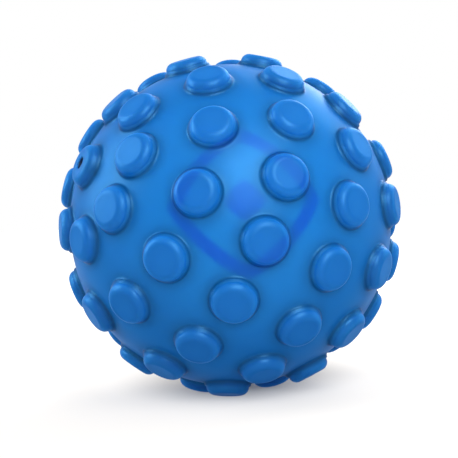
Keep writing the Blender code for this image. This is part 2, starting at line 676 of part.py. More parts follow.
def build_board(drive):
    """Two brackets on the deck carry the round board, with its chips and lamps."""
    bottom, top = FRAME_TOP + FIT, BOARD_BOTTOM - FIT
    bar = CLAMP_TOP + FIT
    thick = BRACKET_LEG_HALF
    outer, inner = BRACKET_LEG_X + thick, BRACKET_LEG_X - thick
    outline = [
        (-outer, bottom),
        (-inner, bottom),
        (-inner, bar),
        (inner, bar),
        (inner, bottom),
        (outer, bottom),
        (outer, top),
        (-outer, top),
    ]
    along_y = Matrix.Rotation(math.pi / 2, 4, "X")
    board_holes = []
    for end, y in (("rear", BRACKET_Y), ("front", -BRACKET_Y)):
        place = Matrix.Translation((0, y, 0)) @ along_y
        bracket = extruded(f"{end}_board_bracket", outline, -thick, thick, CHASSIS, drive, place)
        board_hole = ((0, y, bar - 1), (0, y, BOARD_TOP + 1), SCREW_HOLE)
        board_holes.append(board_hole)
        legs = [((x, y, bottom - 1), (x, y, bottom + 4), SCREW_HOLE) for x in (-BRACKET_LEG_X, BRACKET_LEG_X)]
        boolean(bracket, "DIFFERENCE", drills(f"{end}_bracket_holes", [board_hole, *legs], drive))
        screw(f"{end}_board_screw", (0, y, BOARD_TOP + FIT), bar + 0.3, SCREW_HEAD, SCREW_RADIUS, drive)
        for side, x in (("right", BRACKET_LEG_X), ("left", -BRACKET_LEG_X)):
            seat = (x, y, FRAME_TOP - DECK_THICKNESS - FIT)
            screw(f"{end}_{side}_bracket_screw", seat, bottom + 3.5, SCREW_HEAD, SCREW_RADIUS, drive)
    for x in (-MAST_SCREW_X, MAST_SCREW_X):
        board_holes.append(((x, 0, BOARD_BOTTOM - 1), (x, 0, BOARD_TOP + 1), MAST_SCREW_HOLE))
    board = extruded("main_board", circle(BOARD_RADIUS, 32), BOARD_BOTTOM, BOARD_TOP, BOARD, drive)
    boolean(board, "DIFFERENCE", drills("board_holes", board_holes, drive))

    seat = BOARD_TOP + FIT
    chips = (
        ("radio_module", (12.2, 1.0), (7.0, 9.0, 1.3), CHIP),
        ("motion_sensor", (-10.6, -0.5), (4.0, 4.0, 1.0), CHIP),
        ("processor_chip", (7.5, -9.0), (5.0, 5.0, 1.0), CHIP),
        ("battery_socket", (-8.0, -9.0), (5.5, 4.0, 3.0), CHASSIS),
        ("rear_lamp", (0.0, 17.0), (3.2, 2.4, 1.4), LAMP),
        ("front_lamp", (0.0, -17.0), (3.2, 2.4, 1.4), LAMP),
    )
    for name, (x, y), (width, length, height), surface in chips:
        low = (x - width / 2, y - length / 2, seat)
        block(name, low, (x + width / 2, y + length / 2, seat + height), surface, drive, 0.2)


def build_mast(drive, head_body):
    """A post on the board, with a spring that pushes the idler head up against the shell."""
    base = BOARD_TOP + FIT
    flange = base + MAST_FLANGE
    profile = [
        (0, base),
        (MAST_FLANGE_RADIUS, base),
        (MAST_FLANGE_RADIUS, flange),
        (MAST_RADIUS, flange),
        (MAST_RADIUS, MAST_TOP),
        (MAST_BORE, MAST_TOP),
        (MAST_BORE, MAST_TOP - MAST_BORE_DEPTH),
        (0, MAST_TOP - MAST_BORE_DEPTH),
    ]
    mast = turned("mast_post", profile, CHASSIS, drive, segments=20)
    holes = [((x, 0, base - 1), (x, 0, flange + 0.5), MAST_SCREW_HOLE) for x in (-MAST_SCREW_X, MAST_SCREW_X)]
    boolean(mast, "DIFFERENCE", drills("mast_holes", holes, drive))
    for side, x in (("right", MAST_SCREW_X), ("left", -MAST_SCREW_X)):
        seat, tip = (x, 0, flange + FIT), BOARD_BOTTOM + 0.2
        name = f"{side}_mast_screw"
        screw(name, seat, tip, MAST_SCREW_HEAD, MAST_SCREW_RADIUS, drive, MAST_SCREW_HEAD_HEIGHT)
    seat, tip = (0, 0, MAST_TOP + FIT), MAST_TOP - MAST_BORE_DEPTH + 0.5
    screw("mast_stop_screw", seat, tip, STOP_SCREW_HEAD, STOP_SCREW_RADIUS, drive)

    build_spring(flange + FIT + SPRING_WIRE, HEAD_BOTTOM - FIT - SPRING_WIRE, drive)
    head = turned("mast_head", rod(HEAD_RADIUS, HEAD_BOTTOM, MAST_TOP), CHASSIS, head_body, segments=20)
    across = Matrix(((0, 0, 1, 0), (1, 0, 0, 0), (0, 1, 0, 0), (0, 0, 0, 1)))  # local X, Y, Z to Y, Z, X
    fork = [
        CHEEK_ROOT,
        (IDLER_OFFSET + 2.0, IDLER_HEIGHT - 1.5),
        (IDLER_OFFSET + 2.0, IDLER_HEIGHT + 0.8),
        (IDLER_OFFSET - 1.6, IDLER_HEIGHT + 0.8),
        (CHEEK_SHOULDER, MAST_TOP),
    ]
    outline = fork + [(-y, z) for y, z in reversed(fork)]
    for side in (1, -1):
        near, far = sorted(side * x for x in CHEEK)
        cheek = extruded(f"head_cheek_{near:.0f}", outline, near, far, CHASSIS, head_body, across)
        boolean(head, "UNION", cheek)
    holes = [((0, 0, HEAD_BOTTOM - 1), (0, 0, MAST_TOP + 3), MAST_RADIUS + FIT)]
    for y in (IDLER_OFFSET, -IDLER_OFFSET):
        holes.append(((-5, y, IDLER_HEIGHT), (5, y, IDLER_HEIGHT), IDLER_BORE))
    boolean(head, "DIFFERENCE", drills("head_holes", holes, head_body))
    for end, y in (("rear", IDLER_OFFSET), ("front", -IDLER_OFFSET)):
        place = along_x(0, y, IDLER_HEIGHT)
        idler_pin = rod(IDLER_PIN_RADIUS, -IDLER_PIN_HALF, IDLER_PIN_HALF)
        turned(f"{end}_idler_pin", idler_pin, STEEL, head_body, place, segments=12)
        body = frame_empty(f"{end}_idler_axis", (0, y, IDLER_HEIGHT), head_body)
        half, edge = IDLER_HALF_WIDTH, IDLER_CHAMFER
        roller = [
            (IDLER_BORE, -half),
            (IDLER_RADIUS - edge, -half),
            (IDLER_RADIUS, -half + edge),
            (IDLER_RADIUS, half - edge),
            (IDLER_RADIUS - edge, half),
            (IDLER_BORE, half),
        ]
        turned(f"{end}_idler_roller", roller, WHEEL, body, place, segments=20)


def build_spring(low, high, parent):
    """A closed-ended helix of round wire."""
    curve = bpy.data.curves.new("mast_spring", "CURVE")
    curve.dimensions = "3D"
    curve.bevel_depth = SPRING_WIRE * MM
    curve.bevel_resolution = 0
    curve.use_fill_caps = True
    steps = SPRING_TURNS * 12
    spline = curve.splines.new("POLY")
    spline.points.add(steps)
    for index, point in enumerate(spline.points):
        turn = 2 * math.pi * index / 12
        height = low + (high - low) * index / steps
        place = Vector((SPRING_RADIUS * math.cos(turn), SPRING_RADIUS * math.sin(turn), height))
        point.co = (*(place * MM), 1)
    curve.materials.append(STEEL)
    spring = bpy.data.objects.new("mast_spring", curve)
    spring.parent = parent
    bpy.context.scene.collection.objects.link(spring)


clear_scene()
RUBBER = material("blue_elastomer", (0.012, 0.19, 0.60), 0.45)
SHELL = material("pale_shell", (0.75, 0.85, 0.95), 0.2)
CHASSIS = material("dark_plastic", (0.05, 0.05, 0.06), 0.5)
WHEEL = material("white_acetal", (0.8, 0.8, 0.78), 0.4)
TYRE = material("black_tyre", (0.02, 0.02, 0.02), 0.8)
GEAR = material("gear_acetal", (0.7, 0.7, 0.65), 0.4)
STEEL = material("steel", (0.6, 0.6, 0.62), 0.3, 1.0)
BRASS = material("brass", (0.75, 0.6, 0.3), 0.35, 1.0)
COPPER = material("copper_coil", (0.7, 0.35, 0.2), 0.4, 1.0)
FERRITE = material("ferrite", (0.08, 0.08, 0.08), 0.6)
BATTERY = material("battery_foil", (0.5, 0.52, 0.55), 0.35)
BOARD = material("circuit_board", (0.02, 0.2, 0.08), 0.5)
CHIP = material("chip_resin", (0.03, 0.03, 0.03), 0.5)
LAMP = material("lamp_resin", (0.9, 0.9, 0.85), 0.3)

ball = frame_empty("ball_centre")
build_cover(ball)
build_shell(ball)
drive_unit = frame_empty("drive_roll_axis", parent=ball)
build_frame(drive_unit)
build_coil_stack(drive_unit)
for side_name, side_turn in (("right", Matrix.Identity(4)), ("left", Matrix.Rotation(math.pi, 4, "Z"))):
    build_fixed_train(side_name, side_turn, drive_unit)
    wheel_at = side_turn @ Vector((WHEEL_OFFSET, 0, AXLE_HEIGHT))
    build_wheel(side_name, side_turn, frame_empty(f"{side_name}_wheel_axis", wheel_at, drive_unit))
    cluster_at = side_turn @ Vector((CLUSTER_X, CLUSTER_OFFSET, CLUSTER_HEIGHT))
    build_cluster(side_name, side_turn, frame_empty(f"{side_name}_cluster_axis", cluster_at, drive_unit))
    motor_at = side_turn @ Vector((PINION_X, CLUSTER_OFFSET, MOTOR_HEIGHT))
    build_pinion(side_name, side_turn, frame_empty(f"{side_name}_motor_axis", motor_at, drive_unit))
build_motor_mount(drive_unit)
build_board(drive_unit)
build_mast(drive_unit, frame_empty("mast_slide_axis", (0, 0, MAST_TOP), drive_unit))
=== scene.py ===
"""The looks of the nubbed ball: its elastomer cover, its printed shells, and every material."""

import json
import math

import bmesh
import bpy
import numpy as np
from mathutils import Matrix, Vector
from mathutils.geometry import delaunay_2d_cdt


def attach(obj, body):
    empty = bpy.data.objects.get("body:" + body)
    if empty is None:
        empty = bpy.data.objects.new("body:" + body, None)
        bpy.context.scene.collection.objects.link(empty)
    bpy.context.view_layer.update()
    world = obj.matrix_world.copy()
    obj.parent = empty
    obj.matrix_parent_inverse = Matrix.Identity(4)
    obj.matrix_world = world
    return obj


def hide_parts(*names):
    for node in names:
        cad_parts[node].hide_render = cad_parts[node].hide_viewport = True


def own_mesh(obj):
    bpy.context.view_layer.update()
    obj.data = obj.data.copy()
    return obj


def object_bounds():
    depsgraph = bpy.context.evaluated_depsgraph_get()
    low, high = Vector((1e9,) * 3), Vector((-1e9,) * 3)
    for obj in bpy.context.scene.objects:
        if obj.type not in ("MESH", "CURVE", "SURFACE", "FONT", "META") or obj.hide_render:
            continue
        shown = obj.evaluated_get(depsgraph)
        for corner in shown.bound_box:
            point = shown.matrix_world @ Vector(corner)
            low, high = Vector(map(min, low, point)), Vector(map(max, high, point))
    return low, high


MM = 0.001

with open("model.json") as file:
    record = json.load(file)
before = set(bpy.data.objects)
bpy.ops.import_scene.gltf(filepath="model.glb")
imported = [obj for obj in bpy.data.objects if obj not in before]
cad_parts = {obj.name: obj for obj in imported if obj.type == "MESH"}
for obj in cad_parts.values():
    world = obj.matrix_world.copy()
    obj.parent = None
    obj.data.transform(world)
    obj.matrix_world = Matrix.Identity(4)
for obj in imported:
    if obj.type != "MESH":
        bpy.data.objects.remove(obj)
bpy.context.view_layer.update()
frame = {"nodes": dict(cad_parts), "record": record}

# Cover
COVER_RADIUS = 40.5
COVER_INSIDE = 37.0
NUB_TOP = 43.2
NUB_RADIUS = 5.7
NUB_EDGE_ROUND = 2.0
NUB_FOOT_ROUND = 0.9
NUB_DRAFT = 0.45  # how much narrower the wall is at its top
RING_COUNTS = (1, 8, 12, 16, 16, 12, 8, 1)
FOOT_RING, FOOT_LONGITUDE = 4, -45.0  # where standing_nub_1 is in the pattern
VENT_RADIUS = 1.5
VENT_ROUND = 0.35
SLIT_HALF_WIDTH = 0.25
SLIT_ARC = 150.0
SLIT_SPACING = 0.7  # between the points along the slit's edge
NUB_SIDES = 48
FOOT_STEPS, EDGE_STEPS, VENT_STEPS = 6, 9, 4  # of their quarter rounds
NEAR_POLE = 0.999  # a direction counts as a pole when its Z is past this
RIM_HOLD = 0.15  # an extra ring this far inside a nub's rim keeps its top flat
BODY_SPACING = 1.1  # between the points of the surface round the nubs
HOLE_MARGIN = 0.55 * BODY_SPACING / COVER_RADIUS  # an angle that keeps those points off the holes' edges
LINING_CAP_SIDES = 8
CREASE_WIDTH = 2.0  # how far the painted shade round a nub's foot reaches

# Inner ball
SHELL_RADIUS = 36.6
SHELL_WALL = 1.8
SEAM_GAP = 0.3
SEAM_LAP = 1.5
SHELL_SIDES = 128
SHELL_STEPS = 32  # from the shell's pole to its seam
MARK_DIRECTION = Vector((0.10, -0.98, 0.16)).normalized()
MARK_SIZE = 15.5  # from the mark's centre to the middle of its stroke, at a corner
MARK_STROKE = 3.5
MARK_BLUR = 1.8
MARK_CORNERS = 1.35  # 1 is a sharp square on its corner, 2 is a circle
MARK_DOT = 0.30  # the middle diamond, as a share of the mark's size
MARK_FADE = 5.0  # past the seam, over which the print comes in
GLOW_START = 0.45  # where the shell's painted glow begins, as a share of the way to its front

# Mast spring
SPRING_RADIUS = 3.4
SPRING_WIRE = 0.35
SPRING_TURNS = 4
SPRING_STEPS = 36
SPRING_SIDES = 12
SPRING_LOW = 14.9
SPRING_HIGH = 21.4

# Camera
CAMERA_DISTANCE = 0.324
CAMERA_LENS = 100.1
CAMERA_RIGHT = Vector((0.9982, -0.0011, -0.0601))
CAMERA_UP = Vector((0.0601, 0.0188, 0.998))
CAMERA_SHIFT = (-0.0031, -0.0096)

# Light
ROOM_AT_HORIZON = 0.36
ROOM_OVERHEAD = 0.66
OVERHEAD_FROM = 0.9  # the sine of the elevation where the room's light is at its strongest
SOFTBOXES = (  # name, place and size in metres, power in watts
    ("key_box", (0.18, -0.38, 0.42), (0.34, 0.26), 1.1),
    ("fill_box", (0.16, -0.58, 0.28), (0.40, 0.34), 1.6),
    ("left_box", (-0.50, 0.07, 0.24), (0.34, 0.40), 2.0),
    ("right_box", (0.55, 0.12, 0.10), (0.20, 0.40), 0.45),
    ("rim_box", (0.14, 0.40, 0.18), (0.25, 0.20), 0.5),
    ("top_box", (0.25, 0.29, 0.31), (0.36, 0.34), 1.4),
)

# Floor, in metres
FLOOR_SIZE = 3.0
FLOOR_GLOW_SHARE = 0.53
FLOOR_BOUNCE = 0.37  # how strongly it glows for the ball, rather than for the camera
GLOW_NEAR, GLOW_FAR = (0.08, 1.04), (0.5, 1.8)  # a distance, and how strongly it glows there
SHADE_BEHIND = 0.030  # from under the ball to the middle of its painted shade
SHADE_NARROWING = 1.4
SHADE_CORE, SHADE_EDGE = (0.015, 0.10), (0.052, 1.0)  # a distance, and the share of the glow there

# Shell colours: the far side's, then the front's, which is painted lighter; the glows are emission, painted
# light on a shell that is no lamp
SHELL_TONES = ((0.02, 0.26, 0.55, 1.0), (0.12, 0.55, 0.85, 1.0))
SHELL_PAINTED_GLOWS = ((0.01, 0.12, 0.25, 1.0), (0.07, 0.29, 0.43, 1.0))
MARK_TONE = (0.01, 0.06, 0.70, 1.0)
MARK_PAINTED_GLOW = (0.0, 0.02, 0.42, 1.0)

# Elastomer colours
ELASTOMER_TONES = ((0.005, 0.155, 0.52, 1.0), (0.007, 0.175, 0.58, 1.0))
NUB_TONE = (0.007, 0.178, 0.61, 1.0)
# painted highlight: the paler tone on each nub's rounded edge
EDGE_HIGHLIGHT_TONE = (0.012, 0.215, 0.70, 1.0)
# painted shade: the dark tone round each nub's foot
FOOT_SHADE_TONE = (0.001, 0.060, 0.21, 1.0)
THIN_TINT = (0.14, 0.68, 0.95, 1.0)
THICK_TINT = (0.06, 0.38, 0.70, 1.0)
GLOSS_TINT = (0.14, 0.46, 0.80, 1.0)
RIM_TINT = (0.58, 0.64, 0.82, 1.0)

# Where the elastomer's colours lie, as distances from the ball's centre
TOP_BAND = (NUB_TOP - 0.6, NUB_TOP + 0.1)
EDGE_BAND = (NUB_TOP - 1.6, NUB_TOP - 0.8, NUB_TOP - 0.2, NUB_TOP + 0.15)
FOOT_BAND = (COVER_RADIUS, COVER_RADIUS + 0.25, COVER_RADIUS + 0.5, COVER_RADIUS + 1.15)
THICK_BAND = (COVER_RADIUS + 0.3, COVER_RADIUS + 1.5)
# how strongly the painted shade round a nub's foot darkens the tone
CREASE_SHADE_SHARE = 0.55
CREASE_COVER_SHARE = 0.6  # how much less see-through the elastomer is made round a nub's foot, which darkens it there as painted shade
THROUGH_FACE_ON, THROUGH_EDGE_ON = 0.50, 0.03  # how see-through it is
SHINE_FACE_ON, SHINE_EDGE_ON = 0.10, 0.29  # how much of its light is gloss
LINING_THROUGH = 0.85

# Fine patterns
WAVES_PER_METRE = 3.14  # in a wave texture with a scale of 1
TRACE_LENGTH = 3.2
TRACE_PITCH = 1.1
TRACE_WIDTH = 0.13
TRACE_SHARE = 0.7  # how strongly a trace's colour shows through the board's green


# The nub pattern, with the vented pole along +Z


def sphere_point(colatitude, longitude):
    across = math.sin(colatitude)
    return Vector((across * math.cos(longitude), across * math.sin(longitude), math.cos(colatitude)))


def ring_colatitude(ring):
    return math.pi * ring / (len(RING_COUNTS) - 1)


def nub_directions():
    directions = []
    for ring, count in enumerate(RING_COUNTS):
        for index in range(count):
            directions.append(sphere_point(ring_colatitude(ring), 2 * math.pi * index / count))
    return directions


def axes_from(first, towards):
    """A rotation whose X axis is the first direction and whose Y axis leans to the second."""
    x = first.normalized()
    y = (towards - x * towards.dot(x)).normalized()
    return Matrix((x, y, x.cross(y))).transposed()


def pattern_turn():
    """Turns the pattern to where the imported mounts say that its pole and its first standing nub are."""
    axes = {mount["name"]: Vector(mount["axis"]) for mount in frame["record"]["mounts"]}
    placed = axes_from(axes["vented_pole_nub_face"], axes["standing_nub_1_face"])
    foot = sphere_point(ring_colatitude(FOOT_RING), math.radians(FOOT_LONGITUDE))
    return placed @ axes_from(Vector((0, 0, 1)), foot).transposed()


# Mesh tools


def ring_points(direction, radius, height, sides=NUB_SIDES):
    """Points round a direction, given how far from it they are and how far along it."""
    up = Vector((0, 0, 1)) if abs(direction.z) < NEAR_POLE else Vector((1, 0, 0))
    east = up.cross(direction).normalized()
    north = direction.cross(east)
    turns = (2 * math.pi * i / sides for i in range(sides))
    return [direction * height + (east * math.cos(t) + north * math.sin(t)) * radius for t in turns]


def spread(spacing, radius):
    """An even spread of unit vectors, about spacing apart on a sphere of that radius."""
    count = int(4 * math.pi * radius**2 / (spacing**2 * math.sqrt(3) / 2))
    index = np.arange(count)
    z = 1 - (2 * index + 1) / count
    turn = index * math.pi * (3 - math.sqrt(5))
    across = np.sqrt(1 - z * z)
    return np.stack((across * np.cos(turn), across * np.sin(turn), z), axis=1)


def clear_of(points, avoid, angle):
    """The points that are at least that angle from every direction to avoid."""
    nearest = (points @ np.array(avoid).T).max(axis=1)
    return points[nearest < math.cos(angle)]


def sphere_sheet(shape, radius, loops, filler):
    """Triangulates a sphere round the holes in loops of vertices. One loop must go round the -Z pole."""
    verts = [vert for loop in loops for vert in loop]
    owner = [number for number, loop in enumerate(loops) for _ in loop]
    edges, first = [], 0
    for loop in loops:
        edges += [(first + i, first + (i + 1) % len(loop)) for i in range(len(loop))]
        first += len(loop)
    for point in filler:
        verts.append(shape.verts.new(Vector(point) * radius))
        owner.append(None)
    flat = []
    for vert in verts:
        unit = vert.co.normalized()
        flat.append(Vector((unit.x, unit.y)) / (1 + unit.z))
    _, _, faces, origin, _, _ = delaunay_2d_cdt(flat, edges, [], 0, 1e-9)
    for face in faces:
        corners = [origin[index][0] for index in face]
        owners = {owner[corner] for corner in corners}
        if len(owners) == 1 and None not in owners:
            continue
        shape.faces.new([verts[corner] for corner in corners])


def bridge(shape, lower, upper):
    """Quads between two loops of vertices that run the same way."""
    for i in range(len(lower)):
        shape.faces.new((lower[i - 1], lower[i], upper[i], upper[i - 1]))


def loft(shape, loop, direction, profile):
    """Rings on from a loop, round a direction. Returns the last of them."""
    for radius, height in profile:
        above = [shape.verts.new(point) for point in ring_points(direction, radius, height, len(loop))]
        bridge(shape, loop, above)
        loop = above
    return loop


def cap(shape, loop, point):
    """Triangles from a loop of vertices to a point."""
    tip = shape.verts.new(point)
    for i in range(len(loop)):
        shape.faces.new((loop[i - 1], loop[i], tip))


def quarter(center, radius, start, end, steps):
    turns = (math.radians(start + (end - start) * i / steps) for i in range(steps + 1))
    return [(center[0] + radius * math.cos(a), center[1] + radius * math.sin(a)) for a in turns]


def nub_profile():
    """From the foot's outer edge on the sphere: foot fillet, wall, rounded edge and the flat top's rim."""
    reach = COVER_RADIUS + NUB_FOOT_ROUND
    across = NUB_RADIUS + NUB_FOOT_ROUND
    along = math.sqrt(reach**2 - across**2)
    tangent = math.degrees(math.atan2(along, across))
    fillet = quarter((across, along), NUB_FOOT_ROUND, 180 + tangent, 180, FOOT_STEPS)
    edge_center = (NUB_RADIUS - NUB_DRAFT - NUB_EDGE_ROUND, NUB_TOP - NUB_EDGE_ROUND)
    edge = quarter(edge_center, NUB_EDGE_ROUND, 0, 90, EDGE_STEPS)
    hold = (edge_center[0] - RIM_HOLD, NUB_TOP)
    return [*fillet, *edge, hold]


def slit_longitude(turn):
    """The middle of the slit, at the far side of the ball, as a longitude of the pattern."""
    pole = turn @ Vector((0, 0, 1))
    away = turn.transposed() @ (Vector((0, 1, 0)) - pole * pole.y)
    return math.atan2(away.y, away.x)


def slit_loop(radius, middle):
    """The outline of the slit on the equator, as points on a sphere."""
    half = math.radians(SLIT_ARC / 2)
    steps = int(SLIT_ARC * math.pi / 180 * COVER_RADIUS / SLIT_SPACING)
    tilt = SLIT_HALF_WIDTH / COVER_RADIUS
    there = [middle - half + 2 * half * i / steps for i in range(steps + 1)]
    low = [sphere_point(math.pi / 2 + tilt, a) * radius for a in there]
    high = [sphere_point(math.pi / 2 - tilt, a) * radius for a in reversed(there)]
    return low + high


def finish_piece(name, shape, surfaces, sharp=50):
    """Makes an object in metres, with these materials, from a bmesh in millimetres."""
    bmesh.ops.recalc_face_normals(shape, faces=shape.faces)
    bmesh.ops.scale(shape, vec=(MM, MM, MM), verts=shape.verts)
    mesh = bpy.data.meshes.new(name)
    shape.to_mesh(mesh)
    shape.free()
    mesh.shade_smooth()
    mesh.set_sharp_from_angle(angle=math.radians(sharp))
    for surface in surfaces:
        mesh.materials.append(surface)
    obj = bpy.data.objects.new(name, mesh)
    bpy.context.scene.collection.objects.link(obj)
    return obj


def shade_creases(shape, directions):
    """Stores at each point of the outer skin how near it is to the foot of a nub, from 0 to 1, for the
    painted shade round the feet.
    """
    layer = shape.verts.layers.float["crease"]
    axes = np.array(directions)
    units = np.array([vert.co.normalized() for vert in shape.verts])
    nearest = np.arccos(np.clip((units @ axes.T).max(axis=1), -1, 1)) * COVER_RADIUS
    for vert, distance in zip(shape.verts, nearest):
        if vert.co.length < COVER_RADIUS + NUB_FOOT_ROUND:
            vert[layer] = math.exp(-((max(distance - NUB_RADIUS, 0.0) / CREASE_WIDTH) ** 2))


def add_feet(shape, directions):
    """A loop of vertices on the sphere round each nub's foot."""
    foot_radius, foot_height = nub_profile()[0]
    feet = []
    for direction in directions:
        points = ring_points(direction, foot_radius, foot_height)
        feet.append([shape.verts.new(point.normalized() * COVER_RADIUS) for point in points])
    return feet


def add_outside(shape, directions, feet, outer_slit, slit_axes):
    """The skin between the nubs and the nubs themselves. Returns the top of the vent's bore."""
    profile = nub_profile()
    foot_angle = math.asin(profile[0][0] / COVER_RADIUS)
    body = clear_of(spread(BODY_SPACING, COVER_RADIUS), directions, foot_angle + HOLE_MARGIN)
    sphere_sheet(shape, COVER_RADIUS, [*feet, outer_slit], clear_of(body, slit_axes, HOLE_MARGIN))
    vent_center = (VENT_RADIUS + VENT_ROUND, NUB_TOP - VENT_ROUND)
    vent_profile = quarter(vent_center, VENT_ROUND, 90, 180, VENT_STEPS)
    bore = None
    for direction, foot in zip(directions, feet):
        rim = loft(shape, foot, direction, profile[1:])
        if direction.z > NEAR_POLE:
            bore = loft(shape, rim, direction, vent_profile)
        else:
            cap(shape, rim, direction * NUB_TOP)
    return bore


def add_inside(shape, inner_slit, slit_axes):
    """The smooth inner sphere. Returns its loop round the vent."""
    vent_height = math.sqrt(COVER_INSIDE**2 - VENT_RADIUS**2)
    inner_vent = [shape.verts.new(p) for p in ring_points(Vector((0, 0, 1)), VENT_RADIUS, vent_height)]
    cap_height = math.sqrt(COVER_INSIDE**2 - BODY_SPACING**2)
    cap_points = ring_points(Vector((0, 0, -1)), BODY_SPACING, cap_height, LINING_CAP_SIDES)
    inner_cap = [shape.verts.new(point) for point in cap_points]
    inner = spread(2 * BODY_SPACING, COVER_INSIDE)
    inner = clear_of(inner, [(0, 0, 1), (0, 0, -1)], 2 * VENT_RADIUS / COVER_INSIDE)
    inner = clear_of(inner, slit_axes, HOLE_MARGIN)
    sphere_sheet(shape, COVER_INSIDE, [inner_vent, inner_slit, inner_cap], inner)
    shape.faces.new(inner_cap)
    return inner_vent


def build_cover(surface, lining, painted_bore_shade):
    """The whole cover as one closed skin: nubbed outside, smooth inside, open at the vent and the slit."""
    turn = pattern_turn()
    directions = nub_directions()
    shape = bmesh.new()
    shape.verts.layers.float.new("crease")
    feet = add_feet(shape, directions)
    middle = slit_longitude(turn)
    outer_slit = [shape.verts.new(point) for point in slit_loop(COVER_RADIUS, middle)]
    inner_slit = [shape.verts.new(point) for point in slit_loop(COVER_INSIDE, middle)]
    slit_axes = [vert.co.normalized() for vert in outer_slit]

    bore = add_outside(shape, directions, feet, outer_slit, slit_axes)
    shade_creases(shape, directions)
    outer_faces = len(shape.faces)
    inner_vent = add_inside(shape, inner_slit, slit_axes)
    inner_faces = len(shape.faces)
    bridge(shape, bore, inner_vent)
    bridge(shape, outer_slit, inner_slit)

    shape.faces.ensure_lookup_table()
    for face in shape.faces[outer_faces:inner_faces]:
        face.material_index = 1
    for face in shape.faces[inner_faces:]:
        face.material_index = 2
    for vert in shape.verts:
        vert.co = turn @ vert.co
    cover = finish_piece("elastomer_cover", shape, [surface, lining, painted_bore_shade])
    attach(cover, "ball")
    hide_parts("nub_cover")


def build_half_shell(name, node, profile, surface):
    """A turned shell about the mark's axis, from points of radius and height between its two poles."""
    shape = bmesh.new()
    up = Vector((0, 0, 1))
    loop = [shape.verts.new(point) for point in ring_points(up, *profile[1], SHELL_SIDES)]
    cap(shape, loop, up * profile[0][1])
    cap(shape, loft(shape, loop, up, profile[2:-1]), up * profile[-1][1])
    turn = MARK_DIRECTION.to_track_quat("Z", "X").to_matrix()
    for vert in shape.verts:
        vert.co = turn @ vert.co
    shell = finish_piece(name, shape, [surface], sharp=35)
    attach(shell, "ball")
    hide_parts(node)


def build_shells(surface):
    """Two half shells with a lapped seam, turned about the mark's axis."""
    edge, inside = SEAM_GAP / 2, SHELL_RADIUS - SHELL_WALL
    mid = SHELL_RADIUS - SHELL_WALL / 2
    outside = quarter((0, 0), SHELL_RADIUS, 90, 0, SHELL_STEPS)[:-1]
    lining = quarter((0, 0), inside, 0, 90, SHELL_STEPS)[1:]
    front_lap = [(mid + edge, edge), (mid + edge, SEAM_LAP + SEAM_GAP), (inside, SEAM_LAP + SEAM_GAP)]
    rear_lap = [(mid - edge, edge), (mid - edge, -SEAM_LAP), (inside, -SEAM_LAP)]
    front = [*outside, (SHELL_RADIUS, edge), *front_lap, *lining]
    rear = [*outside, (SHELL_RADIUS, edge), *rear_lap, *lining]
    rear = [(radius, -height) for radius, height in rear]
    build_half_shell("printed_front_shell", "front_shell", front, surface)
    build_half_shell("plain_rear_shell", "rear_shell", rear, surface)


def build_spring(surface):
    """A helix of round wire, at one fixed length; the real spring shortens as the idler head comes down on
    it.
    """
    shape = bmesh.new()
    steps = SPRING_TURNS * SPRING_STEPS
    rise = SPRING_HIGH - SPRING_LOW - 2 * SPRING_WIRE
    loop, first = None, None
    for step in range(steps + 1):
        turn = 2 * math.pi * step / SPRING_STEPS
        middle = SPRING_LOW + SPRING_WIRE + rise * step / steps
        out = Vector((math.cos(turn), math.sin(turn), 0))
        ring = []
        for side in range(SPRING_SIDES):
            around = 2 * math.pi * side / SPRING_SIDES
            radius = SPRING_RADIUS + SPRING_WIRE * math.cos(around)
            height = middle + SPRING_WIRE * math.sin(around)
            ring.append(shape.verts.new(out * radius + Vector((0, 0, height))))
        if loop:
            bridge(shape, loop, ring)
        first = first or ring
        loop = ring
    shape.faces.new(first)
    shape.faces.new(loop)
    spring = finish_piece("coiled_mast_spring", shape, [surface])
    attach(spring, "drive_unit")
    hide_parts("mast_spring")
    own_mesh(spring)


# Materials


class Nodes:
    """A short way to add nodes to a material or a world: inputs are values or sockets."""

    def __init__(self, owner, output="ShaderNodeOutputMaterial"):
        self.owner = owner
        self.owner.use_nodes = True
        self.tree = self.owner.node_tree
        self.tree.nodes.clear()
        self.output = self.tree.nodes.new(output)
        self.place = self.add("ShaderNodeTexCoord").outputs["Object"]

    def add(self, kind, inputs=None, **settings):
        made = self.tree.nodes.new(kind)
        for key, value in settings.items():
            setattr(made, key, value)
        for key, value in (inputs or {}).items():
            if isinstance(value, bpy.types.NodeSocket):
                self.tree.links.new(value, made.inputs[key])
            else:
                made.inputs[key].default_value = value
        return made

    def math(self, operation, first, second=0.0):
        return self.add("ShaderNodeMath", {0: first, 1: second}, operation=operation).outputs[0]

    def length(self, vector):
        return self.add("ShaderNodeVectorMath", {0: vector}, operation="LENGTH").outputs["Value"]

    def noise(self, scale, detail=2.0):
        inputs = {"Vector": self.place, "Scale": scale, "Detail": detail}
        return self.add("ShaderNodeTexNoise", inputs).outputs["Fac"]

    def ramp(self, value, low, high, to_low=0.0, to_high=1.0):
        inputs = {"Value": value, "From Min": low, "From Max": high, "To Min": to_low, "To Max": to_high}
        return self.add("ShaderNodeMapRange", inputs, interpolation_type="SMOOTHSTEP").outputs[0]

    def blend(self, factor, first, second):
        inputs = {0: factor, 6: first, 7: second}  # the colour sockets, which share their names with others
        return self.add("ShaderNodeMix", inputs, data_type="RGBA").outputs[2]

    def bump(self, height, distance, strength=1.0):
        inputs = {"Height": height, "Distance": distance, "Strength": strength}
        return self.add("ShaderNodeBump", inputs).outputs[0]

    def mix(self, factor, first, second):
        inputs = {0: factor, 1: first.outputs[0], 2: second.outputs[0]}
        return self.add("ShaderNodeMixShader", inputs)

    def finish(self, shader):
        self.tree.links.new(shader.outputs[0], self.output.inputs["Surface"])
        return self.owner


def rgb(red, green, blue):
    return (red, green, blue, 1.0)


def material(name):
    return Nodes(bpy.data.materials.new(name))


